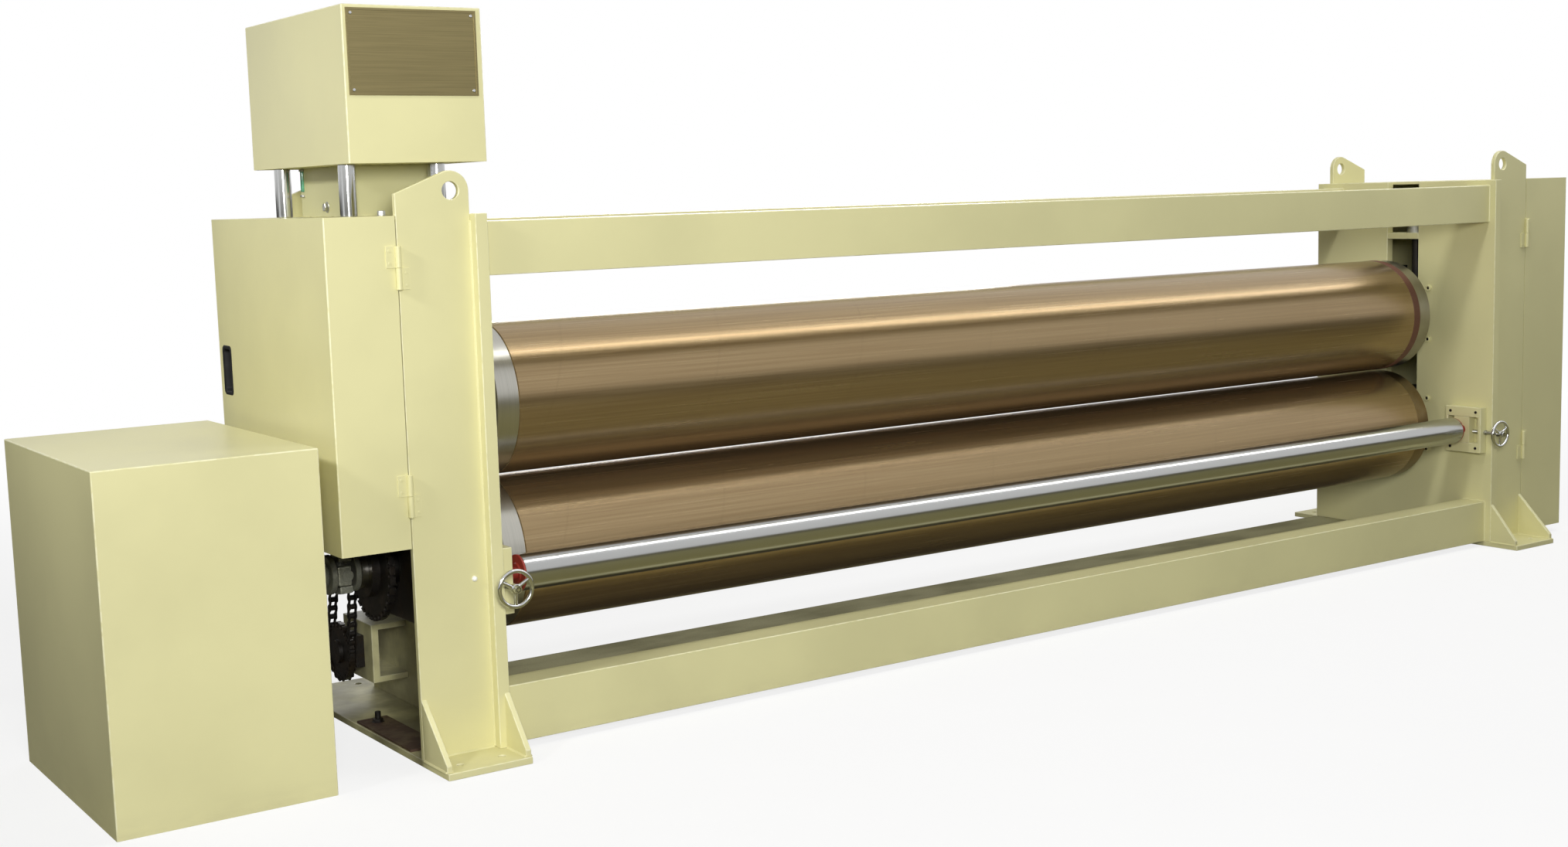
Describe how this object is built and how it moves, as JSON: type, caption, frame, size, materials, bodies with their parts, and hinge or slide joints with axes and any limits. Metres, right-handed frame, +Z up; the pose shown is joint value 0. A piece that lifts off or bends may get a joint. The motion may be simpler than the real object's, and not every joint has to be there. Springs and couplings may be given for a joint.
{
  "type": "two-roll ironing machine",
  "caption": "Wide two-roll ironing calender with plate side frames, a polished tension roll on handwheel screws, end hoods, a covered floor drive and a covered lift unit on posts.",
  "frame": {"origin": "on the floor, at the middle of the machine's overall box", "axes": "+X along the rolls to the right, seen from the front; -Y to the operator at the front; +Z up"},
  "size_m": [6.823, 1.28, 2.296],
  "materials": {
    "machine_paint": "semi-gloss pale yellow-green enamel",
    "drive_paint": "satin grey-blue machine enamel",
    "roll_coating": "satin bronze-brown heat-resistant coating",
    "roll_steel": "fine turned steel",
    "bright_chrome": "polished chrome plate",
    "zinc_steel": "bright zinc-plated steel",
    "red_paint": "dark red enamel",
    "housing_iron": "grey cast iron",
    "bearing_steel": "ground bearing steel",
    "oily_steel": "black oiled steel",
    "plate_brass": "brushed brass",
    "black_plastic": "black moulded plastic"
  },
  "bodies": {
    "frame": {"left_wall_plate": "machine_paint", "right_wall_plate": "machine_paint", "front_columns": "machine_paint", "rear_columns": "machine_paint", "base_plates": "machine_paint", "foot_gussets": "machine_paint", "top_front_beam": "machine_paint", "top_rear_beam": "machine_paint", "bottom_front_beam": "machine_paint", "rear_tie_plate": "machine_paint", "hood_decks": "machine_paint", "hood_rear_panels": "machine_paint", "oil_tank": "machine_paint", "pack_tray": "machine_paint", "pack_cover": "machine_paint", "slot_crossbars": "machine_paint", "tension_bracket": "machine_paint", "hinge_posts": "machine_paint", "idler_guides": "machine_paint", "drive_base": "drive_paint", "gear_reducer": "drive_paint", "drive_motor": "drive_paint", "pump_motor": "drive_paint", "pack_posts": "bright_chrome", "frame_bolts": "zinc_steel", "housing_rails": "zinc_steel", "lift_cylinders": "zinc_steel", "lower_housings": "housing_iron", "tension_bearing": "housing_iron", "lower_bearings": "bearing_steel", "drive_chain": "oily_steel", "base_pads": "oily_steel", "nameplate": "plate_brass"},
    "upper_carriage": {"upper_housings": "housing_iron", "upper_bearings": "bearing_steel", "lift_rods": "bright_chrome"},
    "upper_roll": {"upper_roll_shell": "roll_steel", "upper_roll_cover": "roll_coating", "upper_journals": "roll_steel", "upper_sprocket": "oily_steel"},
    "lower_roll": {"lower_roll_shell": "roll_steel", "lower_roll_cover": "roll_coating", "lower_journals": "roll_steel", "lower_sprocket": "oily_steel", "joint_shaft": "housing_iron"},
    "tension_wheel": {"tension_sprocket": "oily_steel"},
    "idler_carriage": {"idler_blocks": "zinc_steel"},
    "idler": {"idler_tube": "bright_chrome", "idler_end_caps": "red_paint"},
    "left_adjuster": {"left_screw": "zinc_steel", "left_handwheel": "bright_chrome"},
    "right_adjuster": {"right_screw": "zinc_steel", "right_handwheel": "bright_chrome"},
    "left_door": {"left_hood": "machine_paint", "left_hood_pull": "black_plastic", "left_hood_hinges": "machine_paint"},
    "right_door": {"right_hood": "machine_paint", "right_hood_pull": "black_plastic", "right_hood_hinges": "machine_paint"},
    "floor_cover": {"drive_cover": "machine_paint"}
  },
  "joints": [
    {"name": "upper_lift", "type": "slide", "parent": "frame", "child": "upper_carriage", "axis": [0, 0, 1], "range_m": [0, 0.04]},
    {"name": "lower_roll_spin", "type": "hinge", "parent": "frame", "child": "lower_roll", "pos_m": [0.3145, 0, 0.545], "axis": [1, 0, 0], "continuous": true},
    {"name": "upper_roll_spin", "type": "hinge", "parent": "upper_carriage", "child": "upper_roll", "pos_m": [0.3145, 0, 1.064], "axis": [1, 0, 0], "continuous": true},
    {"name": "tension_spin", "type": "hinge", "parent": "frame", "child": "tension_wheel", "pos_m": [-2.4115, 0.31, 0.215], "axis": [1, 0, 0], "continuous": true},
    {"name": "left_wheel_turn", "type": "hinge", "parent": "frame", "child": "left_adjuster", "pos_m": [-2.1735, -0.551, 0.53], "axis": [0, 1, 0], "range_deg": [-2700, 2700]},
    {"name": "right_wheel_turn", "type": "hinge", "parent": "frame", "child": "right_adjuster", "pos_m": [2.8025, -0.551, 0.53], "axis": [0, 1, 0], "range_deg": [-2700, 2700]},
    {"name": "idler_slide", "type": "slide", "parent": "frame", "child": "idler_carriage", "axis": [0, 1, 0], "range_m": [-0.03, 0.03]},
    {"name": "idler_spin", "type": "hinge", "parent": "idler_carriage", "child": "idler", "pos_m": [0.3145, -0.37, 0.54], "axis": [1, 0, 0], "continuous": true},
    {"name": "left_hood_swing", "type": "hinge", "parent": "frame", "child": "left_door", "pos_m": [-2.467, -0.472, 1.18], "axis": [0, 0, 1], "range_deg": [0, 4]},
    {"name": "right_hood_swing", "type": "hinge", "parent": "frame", "child": "right_door", "pos_m": [3.096, -0.472, 0.94], "axis": [0, 0, -1], "range_deg": [0, 90]},
    {"name": "cover_lift", "type": "slide", "parent": "frame", "child": "floor_cover", "axis": [0, 0, 1], "range_m": [0, 1.1]}
  ],
  "couplings": [
    {"joint": "upper_roll_spin", "follows": "lower_roll_spin", "ratio": -1},
    {"joint": "tension_spin", "follows": "lower_roll_spin", "ratio": -1.7778},
    {"joint": "left_wheel_turn", "follows": "idler_slide", "rad_per_m": -1570.8},
    {"joint": "right_wheel_turn", "follows": "idler_slide", "rad_per_m": -1570.8}
  ]
}
